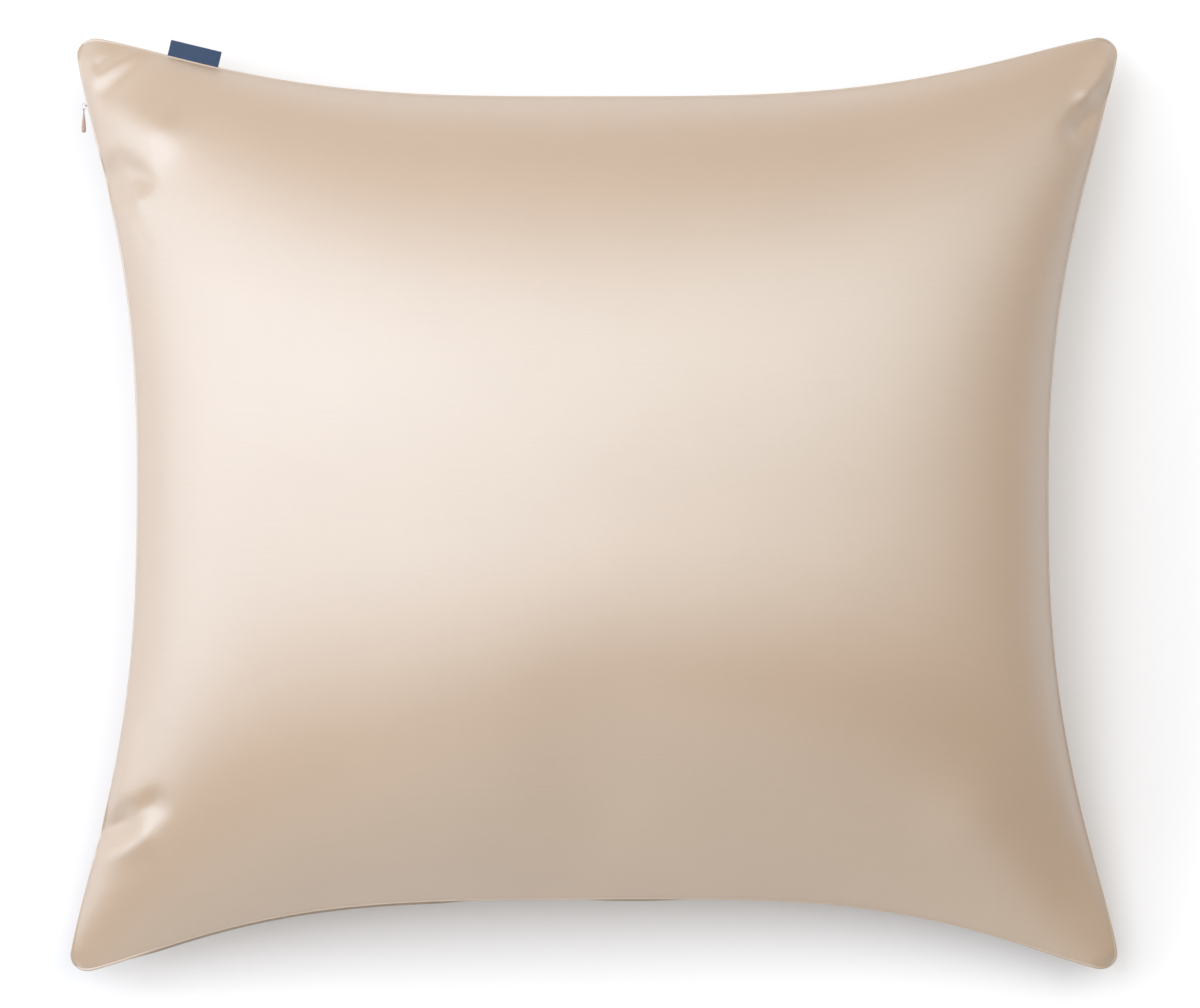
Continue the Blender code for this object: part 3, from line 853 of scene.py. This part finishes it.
def label_material():
    """Blue woven tape: fine ribs across it, with paler flecks of weft."""
    finish = bpy.context.scene.pillowcase_finish
    material, tree, shader = new_material("blue_label_weave")
    rib_tone, rib_height = satin_weave(tree, "tape", LABEL_THREAD, LABEL_FLOAT)
    flecks = noise(tree, scaled_map(tree, "tape", (900.0, 1800.0)), scale=1.0, detail=1.0)
    factor = multiply(tree, remap(tree, rib_tone, 0.85, 1.15), remap(tree, flecks, 0.75, 1.35))
    tree.links.new(tone(tree, finish.label_colour, factor), shader.inputs["Base Color"])
    tree.links.new(remap(tree, flecks, 0.62, 0.78), shader.inputs["Roughness"])
    ribs = bump(tree, rib_height, distance=0.10 * MM)
    flecked = bump(tree, flecks, distance=0.05 * MM, before=ribs)
    tree.links.new(flecked, shader.inputs["Normal"])
    shader.inputs["Sheen Weight"].default_value = 0.3
    shader.inputs["Sheen Roughness"].default_value = 0.5
    return material


def object_noise(tree, scale, detail):
    source = add_node(tree, "ShaderNodeTexCoord")
    return noise(tree, source.outputs["Object"], scale, detail)


def metal_material():
    """Plated wire and casting, a little rubbed."""
    finish = bpy.context.scene.pillowcase_finish
    material = bpy.data.materials.get("plated_metal")
    if material:
        return material
    material, tree, shader = new_material("plated_metal")
    rub = object_noise(tree, scale=900.0, detail=4.0)
    tree.links.new(tone(tree, finish.metal_colour, remap(tree, rub, 0.86, 1.06)),
                   shader.inputs["Base Color"])
    tree.links.new(remap(tree, rub, 0.20, 0.38), shader.inputs["Roughness"])
    tree.links.new(bump(tree, rub, distance=0.01 * MM), shader.inputs["Normal"])
    shader.inputs["Metallic"].default_value = 1.0
    return material


def paint_material():
    """Semi-gloss paint in the cloth's colour, with the orange-peel of a dipped coat."""
    finish = bpy.context.scene.pillowcase_finish
    material, tree, shader = new_material("matching_paint")
    peel = object_noise(tree, scale=1400.0, detail=3.0)
    tree.links.new(tone(tree, finish.paint_colour, remap(tree, peel, 0.93, 1.05)),
                   shader.inputs["Base Color"])
    tree.links.new(remap(tree, peel, 0.30, 0.42), shader.inputs["Roughness"])
    tree.links.new(bump(tree, peel, distance=0.02 * MM), shader.inputs["Normal"])
    shader.inputs["Coat Weight"].default_value = 0.4
    shader.inputs["Coat Roughness"].default_value = 0.2
    return material


# ---------------------------------------------------------------- the stage
# Round softboxes: where each hangs, as degrees from +X towards +Y and over the floor,
# its power in watts and its tone. All have the same size and stand at the same distance.
DAYLIGHT = (0.965, 0.99, 1.045)
NEUTRAL = (1.0, 1.0, 1.0)
WARM = (1.03, 0.99, 0.94)
Softbox = namedtuple("Softbox", "name turn height power colour")
SOFTBOXES = (
    Softbox("key", 144.0, 57.0, 98.0, DAYLIGHT),
    Softbox("top far", 120.0, 75.0, 25.0, NEUTRAL),
    Softbox("left", 180.0, 26.0, 98.0, DAYLIGHT),
    Softbox("far right", 36.0, 57.0, 109.0, WARM),
    Softbox("top near", 240.0, 75.0, 60.0, NEUTRAL),
    Softbox("near", 270.0, 26.0, 42.0, WARM),
    Softbox("right", 0.0, 40.0, 8.0, WARM),
    Softbox("far left", 150.0, 26.0, 38.0, DAYLIGHT),
    Softbox("far", 90.0, 40.0, 25.0, NEUTRAL),
)
SOFTBOX_SIZE = 4.04
SOFTBOX_DISTANCE = 5.0
STAGE_MIDDLE = Vector((0.0, 0.0, 0.1))
FLOOR_SIZE = 14.0
CAMERA_LENS = 200.0                 # millimetres, as is the sensor
CAMERA_SENSOR = 36.0
CAMERA_CENTRE = (4.1 * MM, 0.35 * MM)
SEAM_PLANE = 0.07                   # the height at which the photograph's scale is taken
PHOTO_WIDTH = 1200                  # pixels
METRES_A_PIXEL = 0.7310 * MM


def add_camera():
    """A long lens straight above, framed as the photograph is."""
    view_width = PHOTO_WIDTH * METRES_A_PIXEL
    distance = view_width * CAMERA_LENS / CAMERA_SENSOR
    place = (*CAMERA_CENTRE, SEAM_PLANE + distance)
    bpy.ops.object.camera_add(location=place, rotation=(0.0, 0.0, 0.0))
    camera = bpy.context.object
    camera.data.lens = CAMERA_LENS
    camera.data.sensor_width = CAMERA_SENSOR
    camera.data.clip_end = 50.0
    bpy.context.scene.camera = camera


def add_softbox(box):
    turn = math.radians(box.turn)
    height = math.radians(box.height)
    away = Vector((math.cos(height) * math.cos(turn), math.cos(height) * math.sin(turn),
                   math.sin(height)))
    bpy.ops.object.light_add(type="AREA", location=STAGE_MIDDLE + away * SOFTBOX_DISTANCE)
    light = bpy.context.object
    light.name = "softbox " + box.name
    light.data.shape = "DISK"
    light.data.size = SOFTBOX_SIZE
    light.data.energy = box.power
    light.data.color = box.colour
    light.rotation_mode = "QUATERNION"
    light.rotation_quaternion = (-away).to_track_quat("-Z", "Y")


def floor_material():
    material, _, shader = new_material("pale_floor")
    colour = bpy.context.scene.pillowcase_stage.floor_colour
    shader.inputs["Base Color"].default_value = (*colour, 1.0)
    shader.inputs["Roughness"].default_value = 0.9
    shader.inputs["Specular IOR Level"].default_value = 0.0
    return material


class PILLOWCASE_OT_stage(bpy.types.Operator):
    """Set the floor, the lights and the camera"""

    bl_idname = "pillowcase.stage"
    bl_label = "Stage"

    def execute(self, context):
        deselect_all()
        bpy.ops.mesh.primitive_plane_add(size=FLOOR_SIZE, location=(0.0, 0.0, 0.0))
        floor = bpy.context.object
        floor.name = "floor"
        floor.data.materials.append(floor_material())
        for box in SOFTBOXES:
            add_softbox(box)
        world = bpy.data.worlds.new("studio")
        world.use_nodes = True
        back = world.node_tree.nodes["Background"]
        back.inputs["Color"].default_value = (1.0, 1.0, 1.0, 1.0)
        back.inputs["Strength"].default_value = context.scene.pillowcase_stage.ambient
        context.scene.world = world
        context.scene.view_settings.view_transform = "Standard"
        add_camera()
        return {"FINISHED"}


# ---------------------------------------------------------------- settings
class PillowcaseSizes(bpy.types.PropertyGroup):
    """Sizes of the filled case."""

    cut_x: FloatProperty(name="Cut length", description="Long side of the flat case",
                         default=0.80, unit="LENGTH")
    cut_y: FloatProperty(name="Cut width", description="Short side of the flat case",
                         default=0.70, unit="LENGTH")
    seam_middle: FloatProperty(name="Seam height at the sides", default=0.100,
                               description="Height of the seam at the middle of a side",
                               unit="LENGTH")
    seam_corner: FloatProperty(name="Seam height at the corners", default=0.040,
                               description="Height of the seam at a corner",
                               unit="LENGTH")
    crown: FloatProperty(name="Crown", description="Rise of the front over the seam",
                         default=0.110, unit="LENGTH")
    # How far the painted shade of the seam groove reaches inwards.
    painted_seam_shade_width: FloatProperty(name="Seam shade width", default=0.003,
                             description="How far the seam's darker line spreads inwards",
                             unit="LENGTH")
    cells_x: IntProperty(name="Cells along the long side", default=190,
                         description="Grid cells of a panel along its long side")
    cells_y: IntProperty(name="Cells along the short side", default=170,
                         description="Grid cells of a panel along its short side")
    grading: FloatProperty(name="Grading", default=0.85,
                           description="How much closer the grid lies near the seams")


class PillowcaseLabel(bpy.types.PropertyGroup):
    """Sizes of the woven label."""

    width: FloatProperty(name="Width", description="Along the seam", default=39.5 * MM,
                         unit="LENGTH")
    reach: FloatProperty(name="Reach", description="From the seam to the fold",
                         default=11.6 * MM, unit="LENGTH")
    thickness: FloatProperty(name="Tape thickness", description="Of one layer",
                             default=0.42 * MM, unit="LENGTH")
    lift: FloatProperty(name="Lift", description="How far the fold lifts off the seam plane",
                        default=0.5 * MM, unit="LENGTH")
    curl: FloatProperty(name="Curl", description="How far the outer corners turn down",
                        default=0.5 * MM, unit="LENGTH")
    wave: FloatProperty(name="Wave", description="Unevenness along the fold",
                        default=0.25 * MM, unit="LENGTH")


class PillowcaseFinish(bpy.types.PropertyGroup):
    """Colours and gloss."""

    satin_colour: FloatVectorProperty(name="Satin", description="Colour of the satin",
                                      default=(0.565, 0.40, 0.268), subtype="COLOR")
    gloss_colour: FloatVectorProperty(name="Gloss", description="Colour of the satin's gloss",
                                      default=(0.70, 0.88, 1.0), subtype="COLOR")
    satin_roughness: FloatProperty(name="Satin roughness", default=0.43,
                                   description="Width of the satin's gloss")
    satin_ior: FloatProperty(name="Satin gloss", default=1.95,
                             description="Refractive index, which sets the gloss's strength")
    # How dark the painted shade in the seam groove makes the satin.
    seam_shade: FloatProperty(name="Seam shade", default=0.95,
                              description="How dark the cloth turns at the seam")
    label_colour: FloatVectorProperty(name="Label", description="Colour of the label",
                                      default=(0.014, 0.045, 0.110), subtype="COLOR")
    metal_colour: FloatVectorProperty(name="Plating", description="Colour of the zip's metal",
                                      default=(0.62, 0.60, 0.57), subtype="COLOR")
    paint_colour: FloatVectorProperty(name="Pull", description="Colour of the painted pull",
                                      default=(0.40, 0.27, 0.21), subtype="COLOR")


class PillowcaseStage(bpy.types.PropertyGroup):
    """Even light and the floor."""

    ambient: FloatProperty(name="Ambient light", default=0.03,
                           description="Strength of the even light from all around")
    floor_colour: FloatVectorProperty(name="Floor", description="Colour of the floor",
                                      default=(0.917, 0.928, 0.944), subtype="COLOR")


class PILLOWCASE_PT_panel(bpy.types.Panel):
    """The pillowcase's tools"""

    bl_label = "Pillowcase"
    bl_idname = "PILLOWCASE_PT_panel"
    bl_space_type = "VIEW_3D"
    bl_region_type = "UI"
    bl_category = "Pillowcase"

    def draw(self, context):
        for operator in OPERATORS:
            self.layout.operator(operator.bl_idname)
        for name, group in SETTINGS:
            for setting in group.__annotations__:
                self.layout.prop(getattr(context.scene, name), setting)


OPERATORS = (PILLOWCASE_OT_case, PILLOWCASE_OT_label, PILLOWCASE_OT_zip_slider,
             PILLOWCASE_OT_zip_ring, PILLOWCASE_OT_zip_pull, PILLOWCASE_OT_stage)
SETTINGS = (
    ("pillowcase_case", PillowcaseSizes),
    ("pillowcase_label", PillowcaseLabel),
    ("pillowcase_finish", PillowcaseFinish),
    ("pillowcase_stage", PillowcaseStage),
)


def register():
    for name, group in SETTINGS:
        bpy.utils.register_class(group)
        setattr(bpy.types.Scene, name, PointerProperty(type=group))
    for operator in OPERATORS:
        bpy.utils.register_class(operator)
    bpy.utils.register_class(PILLOWCASE_PT_panel)


def unregister():
    bpy.utils.unregister_class(PILLOWCASE_PT_panel)
    for operator in reversed(OPERATORS):
        bpy.utils.unregister_class(operator)
    for name, group in reversed(SETTINGS):
        delattr(bpy.types.Scene, name)
        bpy.utils.unregister_class(group)


def main():
    register()
    bpy.ops.pillowcase.case()
    bpy.ops.pillowcase.label()
    bpy.ops.pillowcase.zip_slider()
    bpy.ops.pillowcase.zip_ring()
    bpy.ops.pillowcase.zip_pull()
    bpy.ops.pillowcase.stage()


if __name__ == "__main__":
    main()
